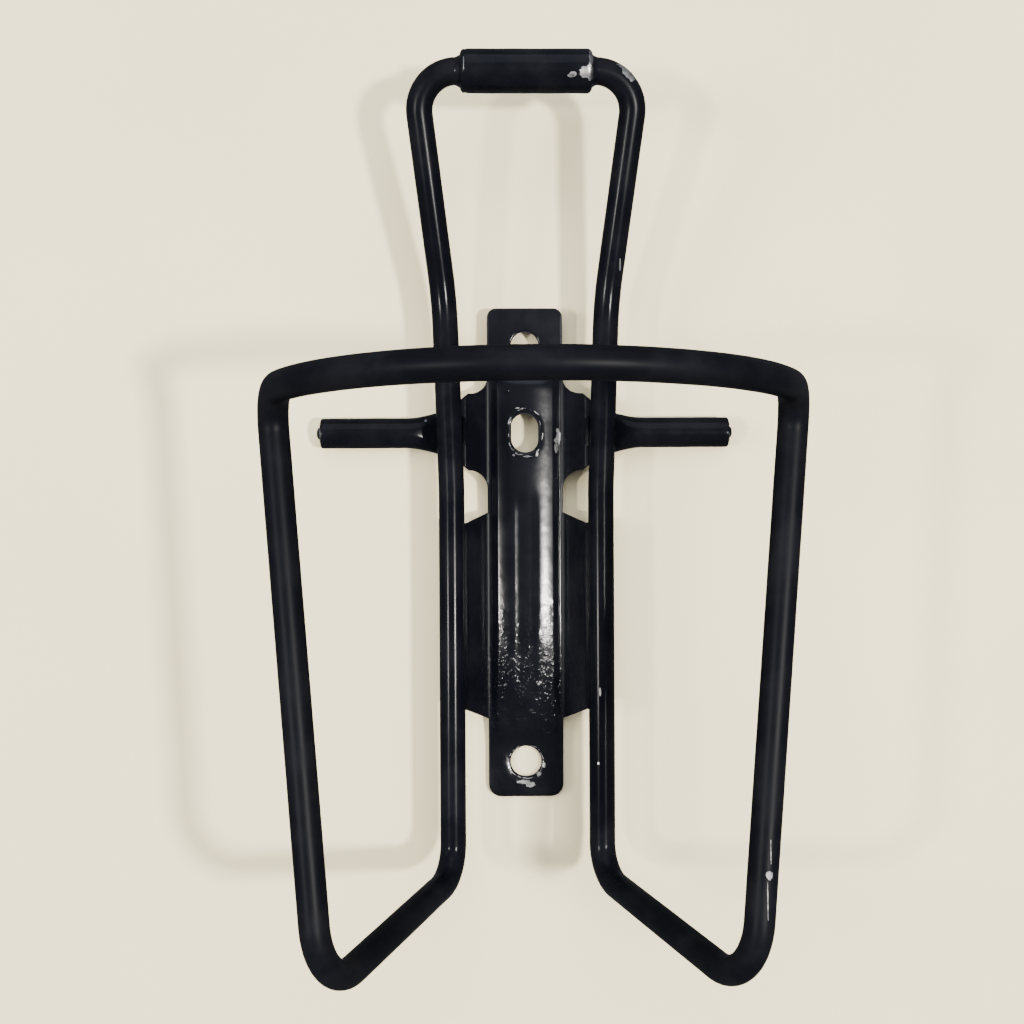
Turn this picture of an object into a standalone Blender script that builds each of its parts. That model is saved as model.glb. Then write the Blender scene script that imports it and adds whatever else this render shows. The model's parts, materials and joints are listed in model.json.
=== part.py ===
"""Water bottle cage: a bent steel rod, its joining sleeve, a pressed mounting plate and a crossbar.

The cage lies on its back: X runs across it, Y towards the bottle's mouth and Z from the bicycle's
tube towards the bottle. Z = 0 is the plane that the bicycle's bosses touch. Every length below is
in millimetres, measured from a datum on the plate's centre line; the finished cage is then moved
so that its box stands centred on the origin.
"""

import math

import bmesh
import bpy
from mathutils import Matrix, Vector

MM = 0.001
GAP = 0.3                     # room left between pieces that touch

# Frame rod: one length of round rod, bent into a loop and closed inside the top sleeve.
ROD_RADIUS = 2.5
ROD_Z = 11.0                  # height of the two back tubes' axes
ROD_SIDES = 12                # sides of the rod's round section
ROD_END_GAP = 1.0             # space between the rod's two ends inside the sleeve
TOP_Y, TOP_Z = 82.0, 22.0     # the sleeve's axis
TOP_HALF_WIDTH = 20.7
NECK_Y, NECK_HALF_WIDTH = 41.0, 15.6
WAIST_Y, BACK_HALF_WIDTH = 5.0, 14.4
FOOT_Y = -69.5
TOE_HALF_WIDTH, TOE_Y, TOE_Z = 34.0, -75.0, 61.0
HOOP_HALF_WIDTH, HOOP_Y, HOOP_Z = 42.0, 20.3, 55.5
HOOP_FRONT_Y, HOOP_FRONT_Z = 21.4, 88.0
TOP_BEND, NECK_BEND, WAIST_BEND = 7.0, 40.0, 80.0
FOOT_BEND, TOE_BEND, HOOP_BEND = 7.0, 10.0, 7.0
HOOP_STEPS = 24
HOOP_HANDLE = 0.58             # handles of the hoop's corner curve, as a share of its bend

# Top sleeve: a short steel tube over the rod's two ends.
SLEEVE_RADIUS, SLEEVE_LENGTH, SLEEVE_EDGE = 4.0, 24.4, 0.7
SLEEVE_BRAZE_LENGTH = 0.9
SLEEVE_BRAZE_HOLLOW, SLEEVE_BRAZE_FOOT = 0.25, 0.1   # height above the bore, midway and at the foot

# Mounting plate: a pressed sheet with a raised web and four wings that reach under the back tubes.
SHEET = 1.4
PLATE_HALF_WIDTH = 7.45
PLATE_TOP_Y, PLATE_BOTTOM_Y = 40.9, -56.4
PLATE_CORNER, PLATE_END_CORNER = 1.8, 2.5
SEAT_Z = 2.8                  # back of the sheet where it lies on the crossbar
SEAT_DROP = (-45.0, 14.0)     # where the sheet starts to climb from the boss to the crossbar, and its run
WEB_RISE, WEB_CROWN = 2.0, 0.03       # height at the middle, and how fast it falls away to the sides
WEB_FLANK, WEB_FOOT = 5.4, 7.0        # where the web's steep flank begins and ends, across the plate
WEB_START, WEB_END = (-45.0, 12.0), (25.0, 6.0)      # where it rises and where it fades, with runs
WEB_LINES = (0.0, 0.6, 1.2, 1.8, 2.4, 3.4, 4.4, 5.4, 5.8, 6.2, 6.6, 7.0)
GROOVE_DEPTH, GROOVE_HALF_WIDTH = 0.35, 2.4
GROOVE_START, GROOVE_END = (-37.0, 6.0), (0.0, 6.0)
RUN_STEPS = 4                 # facets along each run
WING_ROOT, WING_BEND_X, WING_END_X = 7.45, 11.7, 16.3
WING_FACE_Z = ROD_Z - ROD_RADIUS - GAP
UPPER_WING = (23.8, 8.8)      # top and bottom edge, along Y
UPPER_WING_TIP = (19.4, 13.2)
UPPER_WING_FILLET, UPPER_WING_CHAMFER_X = 3.6, 11.2
LOWER_WING = (0.5, -40.6)
LOWER_WING_TIP = (-1.5, -38.0)

# Bolt holes, with their centres on the plate's centre line.
LOWER_HOLE_Y, LOWER_HOLE_RADIUS = -49.4, 3.1
SLOT_Y, UPPER_SLOT_Y = 16.3, 32.3
SLOT_RADIUS, SLOT_LENGTH = 2.75, 8.0

# Crossbar: a solid round bar, forged flat in its middle behind the plate.
BAR_RADIUS, BAR_HALF_LENGTH = 3.0, 41.2
BAR_FLAT_HALF_WIDTH, BAR_FLAT_THICKNESS = 5.65, 2.5
BAR_FLAT_X, BAR_ROUND_X = 10.0, 23.5
BAR_SIDES = 24
BAR_FLARE_STEPS = 8
BAR_END_DOME, BAR_END_SCALE = 0.9, 0.72   # length of the coned tip, and its size against the bar
BAR_BRAZE_SIZE, BRAZE_SHORT = 1.2, 1.0    # its leg, and how far a seam stops short of an edge
WING_BRAZE_ANGLES = (206.0, 218.0, 230.0) # round the back tube, on the side towards the plate
WING_BRAZE_LAP = (0.1, 0.15)              # how far the seam laps over the wing's bend and its landing

ENAMEL = (0.018, 0.019, 0.024)


def remove_everything():
    """Start from an empty scene."""
    for old in list(bpy.data.objects):
        bpy.data.objects.remove(old, do_unlink=True)


def material(name, colour, roughness, metallic):
    """A Principled material."""
    made = bpy.data.materials.new(name)
    made.use_nodes = True
    shader = made.node_tree.nodes["Principled BSDF"]
    shader.inputs["Base Color"].default_value = (*colour, 1.0)
    shader.inputs["Roughness"].default_value = roughness
    shader.inputs["Metallic"].default_value = metallic
    return made


def add_object(name, data, finish):
    """Put a mesh or a curve in the scene under its name, with its finish."""
    data.materials.append(finish)
    made = bpy.data.objects.new(name, data)
    bpy.context.scene.collection.objects.link(made)
    return made


def mesh_object(name, shape, finish, smooth_angle=35.0):
    """Turn a bmesh in millimetres into a finished object in metres."""
    bmesh.ops.recalc_face_normals(shape, faces=shape.faces)
    bmesh.ops.transform(shape, matrix=Matrix.Scale(MM, 4), verts=shape.verts)
    mesh = bpy.data.meshes.new(name)
    shape.to_mesh(mesh)
    shape.free()
    mesh.shade_smooth()
    mesh.set_sharp_from_angle(angle=math.radians(smooth_angle))
    return add_object(name, mesh, finish)


def smooth_step(value, start, run):
    """0 before start, 1 after start + run, and a smooth change between them."""
    t = min(max((value - start) / run, 0.0), 1.0)
    return t * t * (3.0 - 2.0 * t)


def rounded_corner(before, corner, after, radius, steps):
    """Points of the arc that rounds one corner of a path."""
    to_before = (before - corner).normalized()
    to_after = (after - corner).normalized()
    half_angle = to_before.angle(to_after) / 2.0
    start = corner + to_before * (radius / math.tan(half_angle))
    centre = corner + (to_before + to_after).normalized() * (radius / math.sin(half_angle))
    axis = to_before.cross(to_after)
    turn = math.pi - 2.0 * half_angle
    arm = start - centre
    return [centre + Matrix.Rotation(-turn * i / steps, 3, axis) @ arm for i in range(steps + 1)]


def hoop_arc():
    """The hoop's centre line over the bottle, from the right corner to the front's middle."""
    rise = HOOP_FRONT_Z - HOOP_Z
    radius = (HOOP_HALF_WIDTH ** 2 + rise ** 2) / (2.0 * rise)
    centre_z = HOOP_FRONT_Z - radius
    first = math.asin((HOOP_Z - centre_z) / radius)
    points = []
    for i in range(HOOP_STEPS + 1):
        angle = first + (math.pi / 2.0 - first) * i / HOOP_STEPS
        z = centre_z + radius * math.sin(angle)
        y = HOOP_Y + (HOOP_FRONT_Y - HOOP_Y) * (z - HOOP_Z) / rise
        points.append(Vector((radius * math.cos(angle), y, z)))
    return points


def blend_bend(start, start_heading, end, end_heading, handle, steps):
    """A smooth bend from one straight run into a curved one."""
    first = start + start_heading * handle
    second = end - end_heading * handle
    points = []
    for i in range(steps + 1):
        t = i / steps
        s = 1.0 - t
        points.append(start * s ** 3 + first * (3 * s * s * t) + second * (3 * s * t * t) + end * t ** 3)
    return points


def half_rod_path():
    """The rod's centre line on the right: sleeve, neck, back tube, leg, upright and half the hoop."""
    middle = Vector((ROD_END_GAP / 2.0, TOP_Y, TOP_Z))
    top = Vector((TOP_HALF_WIDTH, TOP_Y, TOP_Z))
    neck = Vector((NECK_HALF_WIDTH, NECK_Y, ROD_Z))
    waist = Vector((BACK_HALF_WIDTH, WAIST_Y, ROD_Z))
    foot = Vector((BACK_HALF_WIDTH, FOOT_Y, ROD_Z))
    toe = Vector((TOE_HALF_WIDTH, TOE_Y, TOE_Z))
    hoop_corner = Vector((HOOP_HALF_WIDTH, HOOP_Y, HOOP_Z))
    path = [middle]
    path += rounded_corner(middle, top, neck, TOP_BEND, 8)
    path += rounded_corner(top, neck, waist, NECK_BEND, 3)
    path += rounded_corner(neck, waist, foot, WAIST_BEND, 2)
    path += rounded_corner(waist, foot, toe, FOOT_BEND, 8)
    path += rounded_corner(foot, toe, hoop_corner, TOE_BEND, 9)
    arc = hoop_arc()
    joined = next(i for i, point in enumerate(arc) if (point - hoop_corner).length > HOOP_BEND)
    heading = (hoop_corner - toe).normalized()
    arc_heading = (arc[joined + 1] - arc[joined - 1]).normalized()
    path += blend_bend(hoop_corner - heading * HOOP_BEND, heading, arc[joined], arc_heading,
                       HOOP_BEND * HOOP_HANDLE, 8)
    path += arc[joined + 1:]
    return path


def mirrored(point):
    return Vector((-point.x, point.y, point.z))


def frame_rod(finish):
    """The whole rod as one bevelled curve with closed ends."""
    right = half_rod_path()
    path = right + [mirrored(point) for point in reversed(right[:-1])]
    curve = bpy.data.curves.new("frame_rod", "CURVE")
    curve.dimensions = "3D"
    curve.bevel_depth = ROD_RADIUS * MM
    curve.bevel_resolution = ROD_SIDES // 2 - 2
    curve.use_fill_caps = True
    spline = curve.splines.new("POLY")
    spline.points.add(len(path) - 1)
    for slot, point in zip(spline.points, path):
        slot.co = (*(point * MM), 1.0)
        slot.radius = 1.0
    spline.use_smooth = True
    return add_object("frame_rod", curve, finish)


def turned_ring(profile, centre, sides):
    """A ring turned about an axis along X through centre, from (x, radius) points of its section."""
    shape = bmesh.new()
    corners = [shape.verts.new((centre.x + x, centre.y + radius, centre.z)) for x, radius in profile]
    edges = [shape.edges.new((corners[i], corners[(i + 1) % len(corners)])) for i in range(len(corners))]
    bmesh.ops.spin(shape, geom=corners + edges, cent=centre, axis=(1.0, 0.0, 0.0),
                   angle=2.0 * math.pi, steps=sides, use_duplicate=False)
    bmesh.ops.remove_doubles(shape, verts=shape.verts, dist=0.001)
    return shape


def top_sleeve(finish):
    """The sleeve over the rod's ends, with rounded edges."""
    half = SLEEVE_LENGTH / 2.0
    bore = ROD_RADIUS + GAP
    edge = SLEEVE_EDGE
    slant = edge * (1.0 - math.sqrt(0.5))
    profile = [(-half, bore), (-half, SLEEVE_RADIUS - edge), (-half + slant, SLEEVE_RADIUS - slant),
               (-half + edge, SLEEVE_RADIUS), (half - edge, SLEEVE_RADIUS),
               (half - slant, SLEEVE_RADIUS - slant), (half, SLEEVE_RADIUS - edge), (half, bore)]
    shape = turned_ring(profile, Vector((0.0, TOP_Y, TOP_Z)), 32)
    return mesh_object("top_sleeve", shape, finish)


def sleeve_braze(name, side, finish):
    """The ring of braze between the sleeve's end and the rod."""
    bore = ROD_RADIUS + GAP
    start = SLEEVE_LENGTH / 2.0 + GAP
    end = start + SLEEVE_BRAZE_LENGTH
    profile = [(side * start, bore), (side * start, SLEEVE_RADIUS - SLEEVE_EDGE),
               (side * (start + end) / 2.0, bore + SLEEVE_BRAZE_HOLLOW),
               (side * end, bore + SLEEVE_BRAZE_FOOT), (side * end, bore)]
    shape = turned_ring(profile, Vector((0.0, TOP_Y, TOP_Z)), 24)
    return mesh_object(name, shape, finish)


def arc_points(centre_x, centre_y, radius, first_degrees, last_degrees, steps):
    """Points of a flat arc, as (x, y) pairs."""
    points = []
    for i in range(steps + 1):
        angle = math.radians(first_degrees + (last_degrees - first_degrees) * i / steps)
        points.append((centre_x + radius * math.cos(angle), centre_y + radius * math.sin(angle)))
    return points


def plate_outline():
    """The flat blank's outline: the right side from the top down, then its mirror image."""
    half = PLATE_HALF_WIDTH
    corner = PLATE_CORNER
    fillet = UPPER_WING_FILLET
    end_corner = PLATE_END_CORNER
    right = arc_points(half - corner, PLATE_TOP_Y - corner, corner, 90.0, 0.0, 4)
    right += arc_points(half + fillet, UPPER_WING[0] + fillet, fillet, 180.0, 270.0, 5)
    right += [(UPPER_WING_CHAMFER_X, UPPER_WING[0]), (WING_END_X, UPPER_WING_TIP[0]),
              (WING_END_X, UPPER_WING_TIP[1]), (UPPER_WING_CHAMFER_X, UPPER_WING[1])]
    right += arc_points(half + fillet, UPPER_WING[1] - fillet, fillet, 90.0, 180.0, 5)
    right += [(half, LOWER_WING[0]), (WING_BEND_X, LOWER_WING_TIP[0]), (WING_END_X, LOWER_WING_TIP[0]),
              (WING_END_X, LOWER_WING_TIP[1]), (WING_BEND_X, LOWER_WING_TIP[1]), (half, LOWER_WING[1])]
    right += arc_points(half - end_corner, PLATE_BOTTOM_Y + end_corner, end_corner, 0.0, -90.0, 4)
    return right + [(-x, y) for x, y in reversed(right)]


def slot_outline(centre_y, radius, length, steps=8):
    """A rounded slot along Y, or a round hole when length is twice radius."""
    reach = length / 2.0 - radius
    return (arc_points(0.0, centre_y + reach, radius, 0.0, 180.0, steps)
            + arc_points(0.0, centre_y - reach, radius, 180.0, 360.0, steps))


def prism(outline, low, high):
    """A flat outline extruded along Z."""
    shape = bmesh.new()
    bottom = [shape.verts.new((x, y, low)) for x, y in outline]
    bmesh.ops.remove_doubles(shape, verts=shape.verts, dist=0.001)
    bottom = [vert for vert in bottom if vert.is_valid]
    face = shape.faces.new(bottom)
    raised = bmesh.ops.extrude_face_region(shape, geom=[face])["geom"]
    moved = [part for part in raised if isinstance(part, bmesh.types.BMVert)]
    bmesh.ops.translate(shape, verts=moved, vec=(0.0, 0.0, high - low))
    bmesh.ops.recalc_face_normals(shape, faces=shape.faces)
    return shape


def cut_with(target, cutters):
    """Cut objects out of a target, give the result as a bmesh and drop them all."""
    for cutter in cutters:
        cut = target.modifiers.new("cut", "BOOLEAN")
        cut.operation = "DIFFERENCE"
        cut.solver = "EXACT"
        cut.object = cutter
    bpy.context.view_layer.update()
    evaluated = target.evaluated_get(bpy.context.evaluated_depsgraph_get())
    result = bmesh.new()
    result.from_mesh(evaluated.to_mesh())
    for spent in [target, *cutters]:
        bpy.data.objects.remove(spent, do_unlink=True)
    return result


def plate_rise(x, y):
    """Height of the pressed sheet above the flat blank at one point."""
    across = abs(x)
    seat = SEAT_Z * smooth_step(y, *SEAT_DROP)
    web = (1.0 - smooth_step(across, WEB_FLANK, WEB_FOOT - WEB_FLANK)) * (WEB_RISE - WEB_CROWN * x * x)
    web *= smooth_step(y, *WEB_START) * (1.0 - smooth_step(y, *WEB_END))
    groove = GROOVE_DEPTH * (1.0 - smooth_step(across, 0.0, GROOVE_HALF_WIDTH))
    groove *= smooth_step(y, *GROOVE_START) * (1.0 - smooth_step(y, *GROOVE_END))
    slope = min(max((across - WING_ROOT) / (WING_BEND_X - WING_ROOT), 0.0), 1.0)
    return seat + web - groove + (WING_FACE_Z - SHEET - seat) * slope


def mounting_plate(finish):
    """The blank with its bolt holes, gridded finely enough to be pressed, then pressed."""
    blank = mesh_object("blank", prism(plate_outline(), 0.0, SHEET), finish)
    openings = [slot_outline(LOWER_HOLE_Y, LOWER_HOLE_RADIUS, 2.0 * LOWER_HOLE_RADIUS),
                slot_outline(SLOT_Y, SLOT_RADIUS, SLOT_LENGTH),
                slot_outline(UPPER_SLOT_Y, SLOT_RADIUS, SLOT_LENGTH)]
    cutters = [mesh_object("hole_cutter", prism(outline, -SHEET, 2.0 * SHEET), finish)
               for outline in openings]
    shape = cut_with(blank, cutters)
    bmesh.ops.transform(shape, matrix=Matrix.Scale(1.0 / MM, 4), verts=shape.verts)
    across_lines = [*WEB_LINES, WING_ROOT, WING_BEND_X]
    for x in sorted(set(across_lines + [-x for x in across_lines])):
        bisect(shape, (x, 0.0, 0.0), (1.0, 0.0, 0.0))
    for start, run in (SEAT_DROP, WEB_START, WEB_END, GROOVE_START, GROOVE_END):
        for i in range(RUN_STEPS + 1):
            bisect(shape, (0.0, start + run * i / RUN_STEPS, 0.0), (0.0, 1.0, 0.0))
    bmesh.ops.triangulate(shape, faces=shape.faces)
    for vert in shape.verts:
        vert.co.z += plate_rise(vert.co.x, vert.co.y)
    return mesh_object("mounting_plate", shape, finish)


def bisect(shape, point, normal):
    """Add a line of edges where a plane crosses the shape."""
    everything = list(shape.verts) + list(shape.edges) + list(shape.faces)
    bmesh.ops.bisect_plane(shape, geom=everything, dist=0.0005, plane_co=point, plane_no=normal)


def bar_section(x):
    """Half width and half thickness of the crossbar at one distance from its middle."""
    roundness = smooth_step(abs(x), BAR_FLAT_X, BAR_ROUND_X - BAR_FLAT_X)
    half_width = BAR_FLAT_HALF_WIDTH + (BAR_RADIUS - BAR_FLAT_HALF_WIDTH) * roundness
    half_thick = BAR_FLAT_THICKNESS / 2.0 + (BAR_RADIUS - BAR_FLAT_THICKNESS / 2.0) * roundness
    return half_width, half_thick


def crossbar(finish):
    """The bar as a loft of rounded sections, with its slot cut through the flat."""
    flare_run = BAR_ROUND_X - BAR_FLAT_X
    flare = [BAR_FLAT_X + flare_run * i / BAR_FLARE_STEPS for i in range(BAR_FLARE_STEPS + 1)]
    stations = [0.0, *flare, BAR_HALF_LENGTH - BAR_END_DOME]
    stations = [-x for x in reversed(stations[1:])] + stations
    shape = bmesh.new()
    rings = [bar_ring(shape, -BAR_HALF_LENGTH, BAR_END_SCALE)]
    rings += [bar_ring(shape, x, 1.0) for x in stations]
    rings.append(bar_ring(shape, BAR_HALF_LENGTH, BAR_END_SCALE))
    for first, second in zip(rings[:-1], rings[1:]):
        for i in range(BAR_SIDES):
            j = (i + 1) % BAR_SIDES
            shape.faces.new((first[i], first[j], second[j], second[i]))
    shape.faces.new(rings[0])
    shape.faces.new(list(reversed(rings[-1])))
    bar = mesh_object("bar_blank", shape, finish)
    slot = slot_outline(SLOT_Y, SLOT_RADIUS, SLOT_LENGTH)
    cutter = mesh_object("bar_cutter", prism(slot, -2.0, 2.0 * BAR_RADIUS), finish)
    cut = cut_with(bar, [cutter])
    bmesh.ops.transform(cut, matrix=Matrix.Scale(1.0 / MM, 4), verts=cut.verts)
    return mesh_object("crossbar", cut, finish)


def bar_ring(shape, x, scale):
    """One section of the crossbar: a rounded box whose ends are half circles or a full circle."""
    half_width, half_thick = bar_section(x)
    reach = half_width - half_thick
    verts = []
    for i in range(BAR_SIDES):
        angle = 2.0 * math.pi * (i + 0.5) / BAR_SIDES
        side = 1.0 if math.cos(angle) > 0.0 else -1.0
        y = side * reach + half_thick * math.cos(angle)
        z = half_thick * math.sin(angle)
        stretch = 1.0 / math.cos(math.pi / BAR_SIDES)
        verts.append(shape.verts.new((x, SLOT_Y + y * scale, half_thick + z * scale * stretch)))
    return verts


def bead(name, section, start, end, along, finish):
    """A seam of braze: a small section carried along X or Y."""
    shape = bmesh.new()
    rings = []
    for place in (start, end):
        if along == "Y":
            rings.append([shape.verts.new((x, place, z)) for x, z in section])
        else:
            rings.append([shape.verts.new((place, y, z)) for y, z in section])
    count = len(section)
    for i in range(count):
        j = (i + 1) % count
        shape.faces.new((rings[0][i], rings[0][j], rings[1][j], rings[1][i]))
    shape.faces.new(rings[0])
    shape.faces.new(list(reversed(rings[1])))
    return mesh_object(name, shape, finish)


def wing_braze_section(side):
    """The seam between a wing's landing and the inner side of a back tube."""
    reach = ROD_RADIUS + GAP
    floor = WING_FACE_Z + GAP
    curve = []
    for degrees in WING_BRAZE_ANGLES:
        angle = math.radians(degrees)
        curve.append((BACK_HALF_WIDTH + reach * math.cos(angle), ROD_Z + reach * math.sin(angle)))
    inner_lap, outer_lap = WING_BRAZE_LAP
    section = [(WING_BEND_X - inner_lap, floor), *curve, (curve[-1][0] + outer_lap, floor)]
    return [(side * x, z) for x, z in section]


def brazes(finish):
    """Every seam that joins the pieces."""
    for side, word in ((-1.0, "left"), (1.0, "right")):
        section = wing_braze_section(side)
        bead(f"upper_wing_braze_{word}", section, UPPER_WING_TIP[1], UPPER_WING_TIP[0], "Y", finish)
        bead(f"lower_wing_braze_{word}", section, LOWER_WING_TIP[1] + BRAZE_SHORT,
             LOWER_WING_TIP[0] - BRAZE_SHORT, "Y", finish)
        sleeve_braze(f"sleeve_braze_{word}", side, finish)
    for side, word in ((-1.0, "bottom"), (1.0, "top")):
        edge = SLOT_Y + side * (BAR_FLAT_HALF_WIDTH + GAP)
        high = SEAT_Z - GAP
        section = [(edge, high - BAR_BRAZE_SIZE), (edge + side * BAR_BRAZE_SIZE, high), (edge, high)]
        reach = PLATE_HALF_WIDTH - BRAZE_SHORT
        bead(f"crossbar_braze_{word}", section, -reach, reach, "X", finish)


def centre_on_origin():
    """Move the cage so that its box is centred on the origin in X and Y."""
    bpy.context.view_layer.update()
    lows, highs = [], []
    depsgraph = bpy.context.evaluated_depsgraph_get()
    for made in bpy.context.scene.objects:
        mesh = made.evaluated_get(depsgraph).to_mesh()
        ys = [vert.co.y for vert in mesh.vertices]
        lows.append(min(ys))
        highs.append(max(ys))
    shift = -(min(lows) + max(highs)) / 2.0
    for made in bpy.context.scene.objects:
        made.location.y = shift


def build():
    remove_everything()
    enamel = material("black_enamel", ENAMEL, 0.3, 0.0)
    frame_rod(enamel)
    top_sleeve(enamel)
    mounting_plate(enamel)
    crossbar(enamel)
    brazes(enamel)
    centre_on_origin()


build()
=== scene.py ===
"""Looks of the water bottle cage: smooth enamelled rod, pressed plate, forged crossbar and braze.

The plate's lower end climbs more gently here than in the CAD, by up to 1.1 mm.

Lengths are in millimetres along the CAD's own datum on the plate's centre line, and are turned
into metres in the frame's axes only when a mesh is made.
"""

import json
import math

import bmesh
import bpy
from mathutils import Matrix, Vector, noise

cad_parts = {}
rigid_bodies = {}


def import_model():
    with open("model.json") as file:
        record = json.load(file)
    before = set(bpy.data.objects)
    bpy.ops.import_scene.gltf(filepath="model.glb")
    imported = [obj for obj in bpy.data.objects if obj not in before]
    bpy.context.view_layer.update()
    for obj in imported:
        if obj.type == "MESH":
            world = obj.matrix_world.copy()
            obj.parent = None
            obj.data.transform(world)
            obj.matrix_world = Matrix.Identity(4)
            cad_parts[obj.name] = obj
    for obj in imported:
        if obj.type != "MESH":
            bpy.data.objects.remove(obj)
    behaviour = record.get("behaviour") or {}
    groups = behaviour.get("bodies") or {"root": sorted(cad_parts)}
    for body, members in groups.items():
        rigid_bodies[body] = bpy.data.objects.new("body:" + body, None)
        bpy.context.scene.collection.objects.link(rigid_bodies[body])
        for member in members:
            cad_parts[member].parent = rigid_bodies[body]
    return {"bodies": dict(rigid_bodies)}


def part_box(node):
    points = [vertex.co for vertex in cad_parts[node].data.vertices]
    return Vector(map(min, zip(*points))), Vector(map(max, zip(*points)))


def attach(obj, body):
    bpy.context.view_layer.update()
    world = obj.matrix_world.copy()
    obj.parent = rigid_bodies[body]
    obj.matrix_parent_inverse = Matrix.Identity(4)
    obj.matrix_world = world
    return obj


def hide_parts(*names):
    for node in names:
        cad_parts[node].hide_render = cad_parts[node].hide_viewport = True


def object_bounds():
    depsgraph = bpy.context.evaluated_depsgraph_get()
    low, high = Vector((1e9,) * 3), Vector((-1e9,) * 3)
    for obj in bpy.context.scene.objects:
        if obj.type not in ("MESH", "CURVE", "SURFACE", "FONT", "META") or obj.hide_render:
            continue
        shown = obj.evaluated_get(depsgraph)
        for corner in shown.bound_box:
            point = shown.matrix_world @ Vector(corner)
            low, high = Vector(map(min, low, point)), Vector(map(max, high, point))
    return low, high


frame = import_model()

CAD_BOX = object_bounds()
MM = 0.001
BODY = next(iter(frame["bodies"]))

# Sizes read from the frame, in millimetres.
SLEEVE_LOW, SLEEVE_HIGH = [Vector(corner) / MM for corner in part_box("top_sleeve")]
BAR_LOW, BAR_HIGH = [Vector(corner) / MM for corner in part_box("crossbar")]
PLATE_LOW, PLATE_HIGH = [Vector(corner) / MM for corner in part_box("mounting_plate")]
TOP_Y = 82.0
DATUM_Y = (SLEEVE_LOW.y + SLEEVE_HIGH.y) / 2.0 - TOP_Y
TOP_Z = (SLEEVE_LOW.z + SLEEVE_HIGH.z) / 2.0
SLEEVE_RADIUS = (SLEEVE_HIGH.y - SLEEVE_LOW.y) / 2.0
SLEEVE_HALF = (SLEEVE_HIGH.x - SLEEVE_LOW.x) / 2.0
BAR_HALF_LENGTH = (BAR_HIGH.x - BAR_LOW.x) / 2.0
BAR_RADIUS = (BAR_HIGH.z - BAR_LOW.z) / 2.0
PLATE_TOP_Y = PLATE_HIGH.y - DATUM_Y
PLATE_BOTTOM_Y = PLATE_LOW.y - DATUM_Y

# Frame rod.
ROD_RADIUS, ROD_Z, ROD_SIDES = 2.5, 11.0, 40
ROD_END_GAP = 1.0
TOP_HALF_WIDTH = 20.7
NECK_Y, NECK_HALF_WIDTH = 41.0, 15.6
WAIST_Y, BACK_HALF_WIDTH = 5.0, 14.4
FOOT_Y = -69.5
TOE_HALF_WIDTH, TOE_Y, TOE_Z = 34.0, -75.0, 61.0
HOOP_HALF_WIDTH, HOOP_Y, HOOP_Z = 42.0, 20.3, 55.5
HOOP_FRONT_Y, HOOP_FRONT_Z = 21.4, 88.0
TOP_BEND, NECK_BEND, WAIST_BEND = 7.0, 40.0, 80.0
FOOT_BEND, TOE_BEND, HOOP_BEND = 7.0, 10.0, 7.0
HOOP_STEPS = 90
HOOP_HANDLE = 0.58            # handles of the hoop's corner curve, as a share of its bend
STATION = 1.2                 # longest stretch of rod between two rings of its mesh
GAP = 0.3                     # room that the CAD leaves between pieces that touch

# Mounting plate.
SHEET, SHEET_EDGE = 1.4, 0.36
PLATE_HALF_WIDTH = 7.45
PLATE_CORNER, PLATE_END_CORNER = 1.8, 2.5
SEAT_Z = 2.8
SEAT_DROP = (-45.0, 24.0)     # where the climb from the boss starts, and its run
FOLD_SOFTNESS = 0.8           # how round the fold is where that climb starts
WEB_RISE, WEB_CROWN = 2.0, 0.029
WEB_FLANK, WEB_FOOT = 5.4, 7.0
WEB_START, WEB_END = (-45.0, 24.0), (25.0, 6.0)
GROOVE_DEPTH, GROOVE_FLOOR, GROOVE_HALF_WIDTH = 0.3, 1.2, 2.6
GROOVE_START, GROOVE_END = (-37.0, 6.0), (0.0, 6.0)
WING_ROOT, WING_BEND_X, WING_END_X, WING_SOFTNESS = 7.45, 11.7, 16.3, 0.06
WING_FACE_Z = ROD_Z - ROD_RADIUS - GAP
UPPER_WING, UPPER_WING_TIP = (23.8, 8.8), (19.4, 13.2)
UPPER_WING_FILLET, UPPER_WING_CHAMFER_X = 3.6, 11.2
LOWER_WING, LOWER_WING_TIP = (0.5, -40.6), (-1.5, -38.0)
LOWER_HOLE_Y, LOWER_HOLE_RADIUS = -49.4, 3.1
SLOT_Y, UPPER_SLOT_Y = 16.3, 32.3
SLOT_RADIUS, SLOT_LENGTH = 2.75, 8.0
HOLE_STEPS = 20               # facets along each half circle of a hole

# Crossbar.
BAR_FLAT_HALF_WIDTH, BAR_FLAT_THICKNESS = 5.65, 2.5
BAR_FLAT_X, BAR_ROUND_X = 10.0, 23.5
BAR_SIDES = 72
BAR_TIP = ((0.0, 0.12), (0.06, 0.24), (0.2, 0.34), (0.55, 0.43), (0.72, 0.47),   # pip
           (0.78, 0.84), (0.86, 0.93), (1.02, 0.985), (1.3, 1.0))                # (inward, size) of the tip
SLIVER = 0.01                 # edges shorter than this are left over from a cut

# Seams of braze.
SEAM_STEP = 0.6               # stretch of a seam between two of its sections
SEAM_TAPER = (0.25, 0.7, 0.92)            # size of its last sections, against the rest


# ---------------------------------------------------------------- meshes

def to_frame(point):
    """A datum point in millimetres as a point of the frame in metres."""
    return Vector((point[0], point[1] + DATUM_Y, point[2])) * MM


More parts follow.
